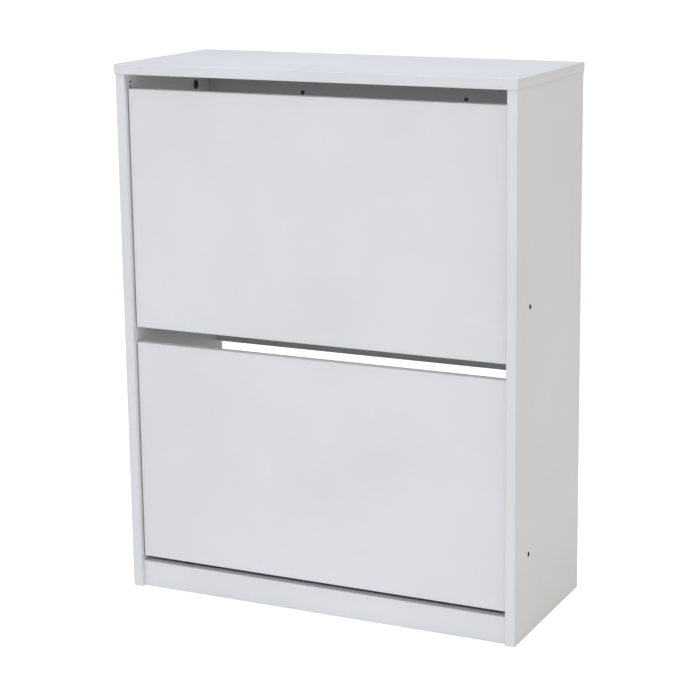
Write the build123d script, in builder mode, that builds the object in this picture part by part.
"""Narrow two-flap shoe cabinet: a white board carcase with an open back and two tilt-out shoe racks.

Millimetres. +Z is up, +X is to the right of someone facing the cabinet, and the front looks along -Y.
The origin is on the floor, under the middle of the cabinet.
"""

from build123d import *
import os

# ---- overall size -------------------------------------------------------------------------------
HEIGHT = 800.0
TOP_WIDTH = 630.0
TOP_DEPTH = 266.0
BOARD = 15.0
TOP_SIDE_OVERHANG = 1.5
TOP_FRONT_OVERHANG = 2.0
BAND_RADIUS = 0.8  # rounding of the edge band on every board edge that shows

# ---- carcase ------------------------------------------------------------------------------------
PLINTH_HEIGHT = 39.5
RAIL_HEIGHT = 80.0
MID_RAIL_BOTTOM = 333.0
LOW_RAIL_BOTTOM = 30.0
WALL_HOLE_SPACING = 272.0
WALL_HOLE_RADIUS = 3.0
WALL_HOLE_DROP = 45.0  # wall-fixing holes below the underside of the top panel

# ---- flaps --------------------------------------------------------------------------------------
FLAP_RECESS = 7.0  # flap and plinth fronts behind the front edges of the sides
FLAP_SIDE_GAP = 2.0
UPPER_FLAP_BOTTOM = 407.5
UPPER_FLAP_HEIGHT = 356.0
LOWER_FLAP_BOTTOM = 48.0
LOWER_FLAP_HEIGHT = 336.0
PIVOT_BEHIND_FLAP = 31.0  # pivot axis behind the inner face of the flap
PIVOT_RISE = 73.0  # pivot axis above the bottom edge of the flap
OPEN_ANGLE = 45.0

# ---- tilting rack: depths run back from the flap's inner face, heights up from its bottom edge --
RACK_BOARD = 8.0
CHANNEL_WALL = 2.0
CHANNEL_REACH = 8.0
PLATE = 4.0
RIM_WALL = 2.5
RIM_REACH = 8.0
FLANGE_WIDTH = 26.0
BRACKET_BOTTOM = 14.0
BRACKET_TOP = 196.0
BRACKET_DEPTH = 216.0
BRACKET_STEP_DEPTH = 112.0
BRACKET_STEP_RUN = 20.0
BRACKET_REAR_BOTTOM = 38.0
BRACKET_REAR_TOP = 142.0
BRACKET_SHOULDER_DEPTH = 150.0
BRACKET_HEAD_DEPTH = 60.0
BRACKET_CORNER = 8.0
FRONT_SHELF_HEIGHT = 26.0
FRONT_SHELF_REACH = 100.0
DIVIDER_TOP = 118.0
REAR_SHELF_HEIGHT = 46.0
REAR_SHELF_REACH = 202.0
BACK_STOP_TOP = 126.0
HUB_RADIUS = 11.0
HUB_REACH = 8.0
PIVOT_STUB_RADIUS = 4.0
PIVOT_RUNNING_CLEARANCE = 0.05
STOP_RADIUS = 95.0  # stop pin to pivot axis
STOP_ANGLE = 80.0  # stop pin's direction from the pivot, up from straight back, flap closed
STOP_PIN_RADIUS = 3.0
STOP_SLOT_CLEARANCE = 0.6

# ---- hardware -----------------------------------------------------------------------------------
CAM_RADIUS = 7.5
CAM_HOLE_DEPTH = 12.5
CAM_HEIGHT = 12.0
CAM_SETBACK = 34.0  # cam centre from the joint face
CAM_MOUTH_RADIUS = 3.8
CAM_CROSS_WIDTH = 1.6
CAM_CROSS_LENGTH = 10.0
CAM_CROSS_DEPTH = 2.5
BOLT_BORE_RADIUS = 4.0
BOLT_THREAD_RADIUS = 2.5
BOLT_THREAD_LENGTH = 10.5
BOLT_TIP_CHAMFER = 0.8
BOLT_COLLAR_RADIUS = 3.5
BOLT_COLLAR_LENGTH = 4.0
BOLT_SHANK_RADIUS = 3.0
BOLT_NECK_RADIUS = 2.0
BOLT_NECK_LENGTH = 5.0
BOLT_HEAD_RADIUS = 3.3
BOLT_HEAD_LENGTH = 3.0
DOWEL_RADIUS = 4.0
DOWEL_LENGTH = 30.0
DOWEL_SHORT_END = 10.5
DOWEL_CHAMFER = 1.0
DOWEL_END_SPACE = 1.0
FIT = 0.05  # radial room round pins, screws and dowels that are fixed in their holes
TOP_CAM_FROM_FRONT = (60.0, 204.0)
TOP_DOWEL_FROM_FRONT = (28.0, 236.0)
RAIL_FIXING_OFFSET = 20.0  # rail cam below and rail dowel above the middle of the rail's height
PLINTH_CAM_HEIGHT = 13.0
PLINTH_DOWEL_HEIGHT = 29.5
PIN_HOLE_RADIUS = 3.5
PIN_SUNK = 2.5  # outer end of the pivot pin below the outer face of the side
PIN_SOCKET_RADIUS = 1.75
HEX_SIDES = 6
PIN_COLLAR_RADIUS = 8.0
PIN_COLLAR = 1.5
STUB_END_SPACE = 1.0
STOP_PIN_EMBEDDED = 10.0
STOP_PIN_SHORT = 0.5
PILOT_RADIUS = 1.7
PILOT_DEPTH = 8.0
PILOT_FROM_FRONT = 16.0
PILOT_BELOW_TOP = (12.0, 18.5)
SCREW_RADIUS = 1.5
SCREW_HEAD_RADIUS = 3.5
SCREW_HEAD_LENGTH = 2.2
SCREW_HEAD_ANGLE = 90.0
PAN_SCREW_GRIP = 12.0
CSK_SCREW_GRIP = 20.0
SCREW_RECESS_RADIUS = 1.2
SCREW_RECESS_DEPTH = 1.2
SCREW_TIP_SPACE = 0.5
FLANGE_SCREW_HEIGHTS = (50.0, 115.0, 180.0)
FLANGE_SCREW_INSET = 19.0  # flange screws in from the end of the flap
BOARD_SCREW_SPREAD = 50.0
BOARD_SCREW_SINK = 0.3

# ---- places worked out from the sizes above -----------------------------------------------------
BACK = TOP_DEPTH / 2
FRONT = -BACK + TOP_FRONT_OVERHANG
UNDER_TOP = HEIGHT - BOARD
SIDE_OUTER = TOP_WIDTH / 2 - TOP_SIDE_OVERHANG
SIDE_INNER = SIDE_OUTER - BOARD
FLAP_FRONT = FRONT + FLAP_RECESS
FLAP_BACK = FLAP_FRONT + BOARD
FLAP_HALF = SIDE_INNER - FLAP_SIDE_GAP  # half width of a flap, and outer faces of the brackets
RAIL_FRONT = BACK - BOARD
PIVOT_Y = FLAP_BACK + PIVOT_BEHIND_FLAP
RAIL_BOTTOMS = (UNDER_TOP - RAIL_HEIGHT, MID_RAIL_BOTTOM, LOW_RAIL_BOTTOM)
FLAPS = {
    "upper": (UPPER_FLAP_BOTTOM, UPPER_FLAP_HEIGHT),
    "lower": (LOWER_FLAP_BOTTOM, LOWER_FLAP_HEIGHT),
}
DOWEL_LONG_END = DOWEL_LENGTH - DOWEL_SHORT_END
BOARD_END = FLAP_HALF - PLATE  # half length of the rack boards


def save(part, name):
    """Labels a finished piece and writes it as one STEP file."""
    part.label = name
    export_step(part, f"parts/{name}.step")


def facing(point, normal):
    """Plane at a point whose +Z is the outward normal of the face that gets drilled."""
    return Plane(origin=point, z_dir=normal)


def drill(points, normal, radius, depth):
    """Straight holes into the active part, from each point against the face's outward normal."""
    with Locations(*[facing(point, normal) for point in points]):
        Hole(radius=radius, depth=depth)


def box_between(low, high):
    """Square-edged board from its lowest to its highest corner, in the active part."""
    centre = (Vector(low) + Vector(high)) / 2
    size = Vector(high) - Vector(low)
    with Locations(centre):
        Box(*size)


# ---- carcase boards -----------------------------------------------------------------------------
def cam_rows():
    """Depth positions of the cams and of the dowels along the top edge of a side."""
    cams = [FRONT + distance for distance in TOP_CAM_FROM_FRONT]
    dowels = [FRONT + distance for distance in TOP_DOWEL_FROM_FRONT]
    return cams, dowels


def rail_middles():
    """Height of the middle of each rear rail."""
    return [bottom + RAIL_HEIGHT / 2 for bottom in RAIL_BOTTOMS]


def side_joint_holes():
    """(y, z) of the cam bolts and of the dowels that enter the inner face of a side."""
    rail_y = RAIL_FRONT + BOARD / 2
    plinth_y = FLAP_FRONT + BOARD / 2
    bolts = [(rail_y, middle - RAIL_FIXING_OFFSET) for middle in rail_middles()]
    dowels = [(rail_y, middle + RAIL_FIXING_OFFSET) for middle in rail_middles()]
    bolts.append((plinth_y, PLINTH_CAM_HEIGHT))
    dowels.append((plinth_y, PLINTH_DOWEL_HEIGHT))
    return bolts, dowels


def pivot_heights():
    """Height of each flap's pivot axis."""
    return [bottom + PIVOT_RISE for bottom, height in FLAPS.values()]


def stop_pin_place(pivot_z):
    """(y, z) of a stop pin, seen from its pivot axis."""
    reach = Vector(STOP_RADIUS, 0).rotate(Axis.Z, STOP_ANGLE)
    return PIVOT_Y + reach.X, pivot_z + reach.Y


def make_top_panel():
    """Board that lies on both sides, drilled from below for cam bolts and dowels."""
    cams, dowels = cam_rows()
    middle = SIDE_INNER + BOARD / 2
    with BuildPart() as top_panel:
        box_between((-TOP_WIDTH / 2, -BACK, UNDER_TOP), (TOP_WIDTH / 2, BACK, HEIGHT))
        fillet(top_panel.edges(), BAND_RADIUS)
        bolt_points = [(x, y, UNDER_TOP) for x in (-middle, middle) for y in cams]
        dowel_points = [(x, y, UNDER_TOP) for x in (-middle, middle) for y in dowels]
        drill(bolt_points, (0, 0, -1), BOLT_THREAD_RADIUS + FIT, BOLT_THREAD_LENGTH + DOWEL_END_SPACE)
        drill(dowel_points, (0, 0, -1), DOWEL_RADIUS + FIT, DOWEL_SHORT_END + DOWEL_END_SPACE)
    return top_panel.part


def make_left_side():
    """Side board with every hole that the left side carries; the right one mirrors it."""
    cams, dowels = cam_rows()
    middle = -(SIDE_INNER + BOARD / 2)
    bolt_holes, dowel_holes = side_joint_holes()
    inward = (1, 0, 0)
    with BuildPart() as left_side_panel:
        box_between((-SIDE_OUTER, FRONT, 0), (-SIDE_INNER, BACK, UNDER_TOP))
        long_edges = left_side_panel.edges().filter_by(Axis.Z)
        fillet(long_edges, BAND_RADIUS)
        drill([(-SIDE_INNER, y, UNDER_TOP - CAM_SETBACK) for y in cams], inward, CAM_RADIUS, CAM_HOLE_DEPTH)
        drill([(middle, y, UNDER_TOP) for y in cams], (0, 0, 1), BOLT_BORE_RADIUS, CAM_SETBACK)
        long_dowel_hole = DOWEL_LONG_END + DOWEL_END_SPACE
        drill([(middle, y, UNDER_TOP) for y in dowels], (0, 0, 1), DOWEL_RADIUS + FIT, long_dowel_hole)
        bolt_points = [(-SIDE_INNER, y, z) for y, z in bolt_holes]
        drill(bolt_points, inward, BOLT_THREAD_RADIUS + FIT, BOLT_THREAD_LENGTH + DOWEL_END_SPACE)
        dowel_points = [(-SIDE_INNER, y, z) for y, z in dowel_holes]
        drill(dowel_points, inward, DOWEL_RADIUS + FIT, DOWEL_SHORT_END + DOWEL_END_SPACE)
        pivots = [(-SIDE_INNER, PIVOT_Y, z) for z in pivot_heights()]
        drill(pivots, inward, PIN_HOLE_RADIUS + FIT, BOARD)
        stops = [(-SIDE_INNER, *stop_pin_place(z)) for z in pivot_heights()]
        drill(stops, inward, STOP_PIN_RADIUS + FIT, STOP_PIN_EMBEDDED + STOP_PIN_SHORT)
        pilots = [(-SIDE_INNER, FRONT + PILOT_FROM_FRONT, UNDER_TOP - drop) for drop in PILOT_BELOW_TOP]
        drill(pilots, inward, PILOT_RADIUS, PILOT_DEPTH)
    return left_side_panel.part


def drill_board_ends(cam_height, dowel_height, bolt_y, cam_face, cam_normal):
    """Cam, bolt and dowel holes at both ends of a board that stands between the sides."""
    for end in (-SIDE_INNER, SIDE_INNER):
        outward = (1, 0, 0) if end > 0 else (-1, 0, 0)
        cam_x = end - outward[0] * CAM_SETBACK
        drill([(cam_x, cam_face, cam_height)], cam_normal, CAM_RADIUS, CAM_HOLE_DEPTH)
        drill([(end, bolt_y, cam_height)], outward, BOLT_BORE_RADIUS, CAM_SETBACK)
        drill([(end, bolt_y, dowel_height)], outward, DOWEL_RADIUS + FIT, DOWEL_LONG_END + DOWEL_END_SPACE)


def make_rail(bottom):
    """Rear rail between the sides, cammed from its rear face."""
    middle = bottom + RAIL_HEIGHT / 2
    with BuildPart() as rail:
        box_between((-SIDE_INNER, RAIL_FRONT, bottom), (SIDE_INNER, BACK, bottom + RAIL_HEIGHT))
        fillet(rail.edges().filter_by(Axis.X), BAND_RADIUS)
        bolt_y = RAIL_FRONT + BOARD / 2
        drill_board_ends(middle - RAIL_FIXING_OFFSET, middle + RAIL_FIXING_OFFSET, bolt_y, BACK, (0, 1, 0))
    return rail.part


def make_top_rail():
    """Uppermost rear rail, with the two holes that fix the cabinet to a wall."""
    hole_z = UNDER_TOP - WALL_HOLE_DROP
    with BuildPart() as rear_top_rail:
        add(make_rail(RAIL_BOTTOMS[0]))
        holes = [(side * WALL_HOLE_SPACING / 2, RAIL_FRONT, hole_z) for side in (-1, 1)]
        drill(holes, (0, -1, 0), WALL_HOLE_RADIUS, BOARD)
    return rear_top_rail.part


def make_plinth():
    """Low front board between the sides, set back with the flaps."""
    with BuildPart() as plinth:
        box_between((-SIDE_INNER, FLAP_FRONT, 0), (SIDE_INNER, FLAP_BACK, PLINTH_HEIGHT))
        fillet(plinth.edges().filter_by(Axis.X), BAND_RADIUS)
        bolt_y = FLAP_FRONT + BOARD / 2
        drill_board_ends(PLINTH_CAM_HEIGHT, PLINTH_DOWEL_HEIGHT, bolt_y, FLAP_BACK, (0, 1, 0))
    return plinth.part


# ---- flat-pack fixings, each made once on the axis +X and then placed ---------------------------
def make_cam_disc():
    """Eccentric cam: axis +Z, face at z = 0, its mouth open towards +X at half the board's thickness."""
    with BuildPart() as cam:
        with Locations((0, 0, -CAM_HEIGHT)):
            Cylinder(CAM_RADIUS - FIT, CAM_HEIGHT, align=(Align.CENTER, Align.CENTER, Align.MIN))
        with BuildSketch(Plane.YZ.offset(-BOLT_HEAD_LENGTH)):
            with Locations((0, -BOARD / 2)):
                Circle(CAM_MOUTH_RADIUS)
        extrude(amount=CAM_RADIUS + BOLT_HEAD_LENGTH, mode=Mode.SUBTRACT)
        with BuildSketch():
            Rectangle(CAM_CROSS_LENGTH, CAM_CROSS_WIDTH)
            Rectangle(CAM_CROSS_WIDTH, CAM_CROSS_LENGTH)
        extrude(amount=-CAM_CROSS_DEPTH, mode=Mode.SUBTRACT)
    return cam.part


def make_cam_bolt():
    """Cam bolt along +X: joint face at x = 0, thread beyond it, head back at the cam."""
    steps = (
        (-CAM_SETBACK, BOLT_HEAD_RADIUS, BOLT_HEAD_LENGTH),
        (-CAM_SETBACK + BOLT_HEAD_LENGTH, BOLT_NECK_RADIUS, BOLT_NECK_LENGTH),
        (
            -CAM_SETBACK + BOLT_HEAD_LENGTH + BOLT_NECK_LENGTH,
            BOLT_SHANK_RADIUS,
            CAM_SETBACK - BOLT_HEAD_LENGTH - BOLT_NECK_LENGTH - BOLT_COLLAR_LENGTH,
        ),
        (-BOLT_COLLAR_LENGTH, BOLT_COLLAR_RADIUS, BOLT_COLLAR_LENGTH),
        (0.0, BOLT_THREAD_RADIUS, BOLT_THREAD_LENGTH),
    )
    with BuildPart() as bolt:
        for start, radius, length in steps:
            with BuildSketch(Plane.YZ.offset(start)):
                Circle(radius)
            extrude(amount=length)
        tip = bolt.edges().filter_by(GeomType.CIRCLE).sort_by(Axis.X)[-1]
        chamfer(tip, BOLT_TIP_CHAMFER)
    return bolt.part


def make_dowel():
    """Wooden dowel along +X, crossing the joint face at x = 0."""
    with BuildPart() as dowel:
        with BuildSketch(Plane.YZ.offset(-DOWEL_LONG_END)):
            Circle(DOWEL_RADIUS)
        extrude(amount=DOWEL_LENGTH)
        chamfer(dowel.edges().filter_by(GeomType.CIRCLE), DOWEL_CHAMFER)
    return dowel.part


def top_joint_planes(offset_z, rows):
    """Planes on the top edges of both sides whose +X points up across the joint face."""
    middle = SIDE_INNER + BOARD / 2
    planes = []
    for side in (-1, 1):
        for y in rows:
            origin = (side * middle, y, UNDER_TOP + offset_z)
            planes.append(Plane(origin=origin, x_dir=(0, 0, 1), z_dir=(-side, 0, 0)))
    return planes


def end_joint_planes(inset, places, depth_step):
    """Planes at both ends of the boards between the sides, +X pointing out across the joint face."""
    planes = []
    for side in (-1, 1):
        for y, z in places:
            origin = (side * (SIDE_INNER - inset), y + depth_step, z)
            planes.append(Plane(origin=origin, x_dir=(side, 0, 0), z_dir=(0, 1, 0)))
    return planes


def make_group(piece, planes):
    """One group of identical pieces, a separate solid on each plane."""
    with BuildPart() as group:
        with Locations(*planes):
            add(piece)
    return group.part


def save_fixings():
    """Cams, cam bolts and dowels of the top panel, the rear rails and the plinth."""
    cam = make_cam_disc()
    bolt = make_cam_bolt()
    dowel = make_dowel()
    cams, dowels = cam_rows()
    half = BOARD / 2
    cam_planes = top_joint_planes(-CAM_SETBACK, cams)
    face_planes = [plane.offset(half) for plane in cam_planes]
    save(make_group(cam, face_planes), "top_cam_discs")
    save(make_group(bolt, top_joint_planes(0, cams)), "top_cam_bolts")
    save(make_group(dowel, top_joint_planes(0, dowels)), "top_dowels")
    bolt_places, dowel_places = side_joint_holes()
    groups = {"rail": slice(0, len(RAIL_BOTTOMS)), "plinth": slice(len(RAIL_BOTTOMS), None)}
    for name, which in groups.items():
        cam_group = end_joint_planes(CAM_SETBACK, bolt_places[which], half)
        save(make_group(cam, cam_group), f"{name}_cam_discs")
        save(make_group(bolt, end_joint_planes(0, bolt_places[which], 0)), f"{name}_cam_bolts")
        save(make_group(dowel, end_joint_planes(0, dowel_places[which], 0)), f"{name}_dowels")


# ---- pivots and stops fixed in the sides --------------------------------------------------------
def make_pivot_pins(pivot_z):
    """Two stepped pins: a plug in the side's hole, a thin collar and the stub that the rack turns on."""
    stub_end = BOARD_END - HUB_REACH + STUB_END_SPACE
    with BuildPart() as pins:
        with BuildSketch(Plane.YZ.offset(-SIDE_OUTER + PIN_SUNK)):
            with Locations((PIVOT_Y, pivot_z)):
                Circle(PIN_HOLE_RADIUS)
        extrude(amount=BOARD - PIN_SUNK)
        with BuildSketch(Plane.YZ.offset(-SIDE_INNER)):
            with Locations((PIVOT_Y, pivot_z)):
                Circle(PIN_COLLAR_RADIUS)
        extrude(amount=PIN_COLLAR)
        with BuildSketch(Plane.YZ.offset(-SIDE_INNER + PIN_COLLAR)):
            with Locations((PIVOT_Y, pivot_z)):
                Circle(PIVOT_STUB_RADIUS)
        extrude(amount=SIDE_INNER - PIN_COLLAR - stub_end)
        with BuildSketch(Plane.YZ.offset(-SIDE_OUTER + PIN_SUNK)):
            with Locations((PIVOT_Y, pivot_z)):
                RegularPolygon(PIN_SOCKET_RADIUS, HEX_SIDES)
        extrude(amount=PIN_SUNK, mode=Mode.SUBTRACT)
        mirror(about=Plane.YZ)
    return pins.part


def make_stop_pins(pivot_z):
    """Two pins that run in the arc slots of the rack brackets and end the tilt."""
    y, z = stop_pin_place(pivot_z)
    pin_end = BOARD_END + STOP_PIN_SHORT
    with BuildPart() as pins:
        with BuildSketch(Plane.YZ.offset(-SIDE_INNER - STOP_PIN_EMBEDDED)):
            with Locations((y, z)):
                Circle(STOP_PIN_RADIUS)
        extrude(amount=SIDE_INNER + STOP_PIN_EMBEDDED - pin_end)
        chamfer(pins.edges().filter_by(GeomType.CIRCLE).sort_by(Axis.X)[-1], STOP_PIN_SHORT)
        mirror(about=Plane.YZ)
    return pins.part


# ---- tilt-out flap and its rack -----------------------------------------------------------------
def rack_boards(bottom):
    """The four boards of a rack: name, then lowest and highest (y, z) of its section."""
    divider_front = FRONT_SHELF_REACH + CHANNEL_WALL
    rear_start = divider_front + RACK_BOARD + CHANNEL_WALL
    stop_front = REAR_SHELF_REACH + CHANNEL_WALL
    sections = {
        "front_shelf": (PLATE, FRONT_SHELF_HEIGHT, FRONT_SHELF_REACH, FRONT_SHELF_HEIGHT + RACK_BOARD),
        "divider": (divider_front, FRONT_SHELF_HEIGHT, divider_front + RACK_BOARD, DIVIDER_TOP),
        "rear_shelf": (rear_start, REAR_SHELF_HEIGHT, REAR_SHELF_REACH, REAR_SHELF_HEIGHT + RACK_BOARD),
        "back_stop": (stop_front, REAR_SHELF_HEIGHT, stop_front + RACK_BOARD, BACK_STOP_TOP),
    }
    placed = {}
    for name, (near, low, far, high) in sections.items():
        placed[name] = ((FLAP_BACK + near, bottom + low), (FLAP_BACK + far, bottom + high))
    return placed


def board_screw_places(section):
    """(y, z) of the two screws that enter each end of a rack board."""
    (near, low), (far, high) = section
    y, z = (near + far) / 2, (low + high) / 2
    half = BOARD_SCREW_SPREAD / 2
    if far - near > high - low:
        return [(y - half, z), (y + half, z)]
    return [(y, z - half), (y, z + half)]


def flange_screw_points(bottom):
    """Points on the flap's inner face where the bracket flanges are screwed on."""
    x = FLAP_HALF - FLANGE_SCREW_INSET
    return [(side * x, FLAP_BACK, bottom + h) for side in (-1, 1) for h in FLANGE_SCREW_HEIGHTS]


def make_flap_panel(bottom, height):
    """Front board of one compartment, with pilot holes for the bracket screws in its back."""
    with BuildPart() as flap_panel:
        box_between((-FLAP_HALF, FLAP_FRONT, bottom), (FLAP_HALF, FLAP_BACK, bottom + height))
        fillet(flap_panel.edges(), BAND_RADIUS)
        hole_depth = PAN_SCREW_GRIP - PLATE + SCREW_TIP_SPACE
        drill(flange_screw_points(bottom), (0, 1, 0), SCREW_RADIUS + FIT, hole_depth)
    return flap_panel.part


def draw_bracket_outline(bottom):
    """Outline of the bracket's side plate in (y, z), in the active sketch."""
    step_back = BRACKET_STEP_DEPTH + BRACKET_STEP_RUN
    corners = (
        (0, BRACKET_BOTTOM),
        (BRACKET_STEP_DEPTH, BRACKET_BOTTOM),
        (step_back, BRACKET_REAR_BOTTOM),
        (BRACKET_DEPTH, BRACKET_REAR_BOTTOM),
        (BRACKET_DEPTH, BRACKET_REAR_TOP),
        (BRACKET_SHOULDER_DEPTH, BRACKET_REAR_TOP),
        (BRACKET_HEAD_DEPTH, BRACKET_TOP),
        (0, BRACKET_TOP),
    )
    with BuildLine() as outline:
        Polyline(*[(FLAP_BACK + depth, bottom + rise) for depth, rise in corners], close=True)
    face = make_face(outline.edges())
    away_from_flap = face.vertices().group_by(Axis.Y)[1:]
    fillet([vertex for group in away_from_flap for vertex in group], BRACKET_CORNER)


def draw_rect(low, high):
    """Rectangle between two (y, z) corners, in the active sketch."""
    with Locations(((low[0] + high[0]) / 2, (low[1] + high[1]) / 2)):
        Rectangle(high[0] - low[0], high[1] - low[1])


def make_left_bracket(bottom):
    """Moulded bracket: side plate, stiffening rim, flange, hub, arc slot and channels for the boards."""
    pivot = (PIVOT_Y, bottom + PIVOT_RISE)
    sections = rack_boards(bottom)
    slot_arc = CenterArc(pivot, STOP_RADIUS, STOP_ANGLE - OPEN_ANGLE, OPEN_ANGLE)
    outer = Plane.YZ.offset(-FLAP_HALF)
    inner = Plane.YZ.offset(-BOARD_END)
    sink_radius = SCREW_HEAD_RADIUS + BOARD_SCREW_SINK + 2 * FIT
    with BuildPart() as bracket:
        with BuildSketch(outer):
            draw_bracket_outline(bottom)
        extrude(amount=PLATE)
        with BuildSketch(inner):
            draw_bracket_outline(bottom)
            offset(amount=-RIM_WALL, mode=Mode.SUBTRACT)
        extrude(amount=RIM_REACH)
        with BuildSketch(inner):
            for low, high in sections.values():
                draw_rect([v - CHANNEL_WALL for v in low], [v + CHANNEL_WALL for v in high])
        extrude(amount=CHANNEL_REACH)
        with BuildSketch(outer):
            draw_rect((FLAP_BACK, bottom + BRACKET_BOTTOM), (FLAP_BACK + PLATE, bottom + BRACKET_TOP))
        extrude(amount=FLANGE_WIDTH)
        with BuildSketch(inner):
            with Locations(pivot):
                Circle(HUB_RADIUS)
        extrude(amount=HUB_REACH)
        with BuildSketch(inner):
            for low, high in sections.values():
                draw_rect(low, high)
        extrude(amount=FLANGE_WIDTH, mode=Mode.SUBTRACT)
        with BuildSketch(outer):
            with Locations(pivot):
                Circle(PIVOT_STUB_RADIUS + PIVOT_RUNNING_CLEARANCE)
            SlotArc(slot_arc, 2 * (STOP_PIN_RADIUS + STOP_SLOT_CLEARANCE))
        extrude(amount=FLANGE_WIDTH, mode=Mode.SUBTRACT)
        left_screws = [point for point in flange_screw_points(bottom) if point[0] < 0]
        heads = [(x, y + PLATE, z) for x, y, z in left_screws]
        drill(heads, (0, 1, 0), SCREW_RADIUS + FIT, PLATE)
        for section in sections.values():
            for y, z in board_screw_places(section):
                with Locations(facing((-FLAP_HALF, y, z), (-1, 0, 0))):
                    CounterSinkHole(SCREW_RADIUS + FIT, sink_radius, PLATE, SCREW_HEAD_ANGLE)
    return bracket.part


def make_rack_board(section):
    """One rack board between the two brackets, with screw pilots in its ends."""
    (near, low), (far, high) = section
    with BuildPart() as board:
        box_between((-BOARD_END, near, low), (BOARD_END, far, high))
        for side in (-1, 1):
            ends = [(side * BOARD_END, y, z) for y, z in board_screw_places(section)]
            drill(ends, (side, 0, 0), SCREW_RADIUS + FIT, CSK_SCREW_GRIP - PLATE + SCREW_TIP_SPACE)
    return board.part


def make_pan_screw():
    """Pan-head screw: underside of the head at z = 0, shank down along -Z."""
    with BuildPart() as screw:
        Cylinder(SCREW_HEAD_RADIUS, SCREW_HEAD_LENGTH, align=(Align.CENTER, Align.CENTER, Align.MIN))
        rim = screw.edges().filter_by(GeomType.CIRCLE).sort_by(Axis.Z)[-1]
        fillet(rim, SCREW_HEAD_LENGTH / 2)
        Cylinder(SCREW_RADIUS, PAN_SCREW_GRIP, align=(Align.CENTER, Align.CENTER, Align.MAX))
        tip = screw.edges().filter_by(GeomType.CIRCLE).sort_by(Axis.Z)[0]
        chamfer(tip, SCREW_RADIUS / 2)
        with Locations((0, 0, SCREW_HEAD_LENGTH)):
            Hole(SCREW_RECESS_RADIUS, depth=SCREW_RECESS_DEPTH)
    return screw.part


def make_countersunk_screw():
    """Countersunk screw: flat of the head at z = 0, shank down along -Z."""
    head_depth = SCREW_HEAD_RADIUS - SCREW_RADIUS
    with BuildPart() as screw:
        Cylinder(SCREW_RADIUS, CSK_SCREW_GRIP, align=(Align.CENTER, Align.CENTER, Align.MAX))
        tip = screw.edges().filter_by(GeomType.CIRCLE).sort_by(Axis.Z)[0]
        chamfer(tip, SCREW_RADIUS / 2)
        with Locations((0, 0, -head_depth)):
            Cone(SCREW_RADIUS, SCREW_HEAD_RADIUS, head_depth, align=(Align.CENTER, Align.CENTER, Align.MIN))
        Hole(SCREW_RECESS_RADIUS, depth=SCREW_RECESS_DEPTH)
    return screw.part


def save_flap(name, bottom, height):
    """Writes every piece that tilts with one flap."""
    sections = rack_boards(bottom)
    left_bracket = make_left_bracket(bottom)
    with BuildPart() as right_bracket:
        mirror(left_bracket, about=Plane.YZ)
    save(make_flap_panel(bottom, height), f"{name}_flap_panel")
    save(left_bracket, f"{name}_left_rack_bracket")
    save(right_bracket.part, f"{name}_right_rack_bracket")
    for board_name, section in sections.items():
        save(make_rack_board(section), f"{name}_rack_{board_name}")
    heads = [facing((x, y + PLATE, z), (0, 1, 0)) for x, y, z in flange_screw_points(bottom)]
    save(make_group(make_pan_screw(), heads), f"{name}_bracket_screws")
    flush = FLAP_HALF - BOARD_SCREW_SINK
    ends = []
    for side in (-1, 1):
        for section in sections.values():
            ends += [facing((side * flush, y, z), (side, 0, 0)) for y, z in board_screw_places(section)]
    save(make_group(make_countersunk_screw(), ends), f"{name}_rack_board_screws")


# ---- write every piece --------------------------------------------------------------------------
os.makedirs("parts", exist_ok=True)
left_side = make_left_side()
with BuildPart() as right_side_panel:
    mirror(left_side, about=Plane.YZ)
save(make_top_panel(), "top_panel")
save(left_side, "left_side_panel")
save(right_side_panel.part, "right_side_panel")
save(make_plinth(), "plinth")
save(make_top_rail(), "rear_top_rail")
save(make_rail(MID_RAIL_BOTTOM), "rear_middle_rail")
save(make_rail(LOW_RAIL_BOTTOM), "rear_bottom_rail")
save_fixings()
for flap_name, (flap_bottom, flap_height) in FLAPS.items():
    save(make_pivot_pins(flap_bottom + PIVOT_RISE), f"{flap_name}_flap_pivot_pins")
    save(make_stop_pins(flap_bottom + PIVOT_RISE), f"{flap_name}_flap_stop_pins")
    save_flap(flap_name, flap_bottom, flap_height)
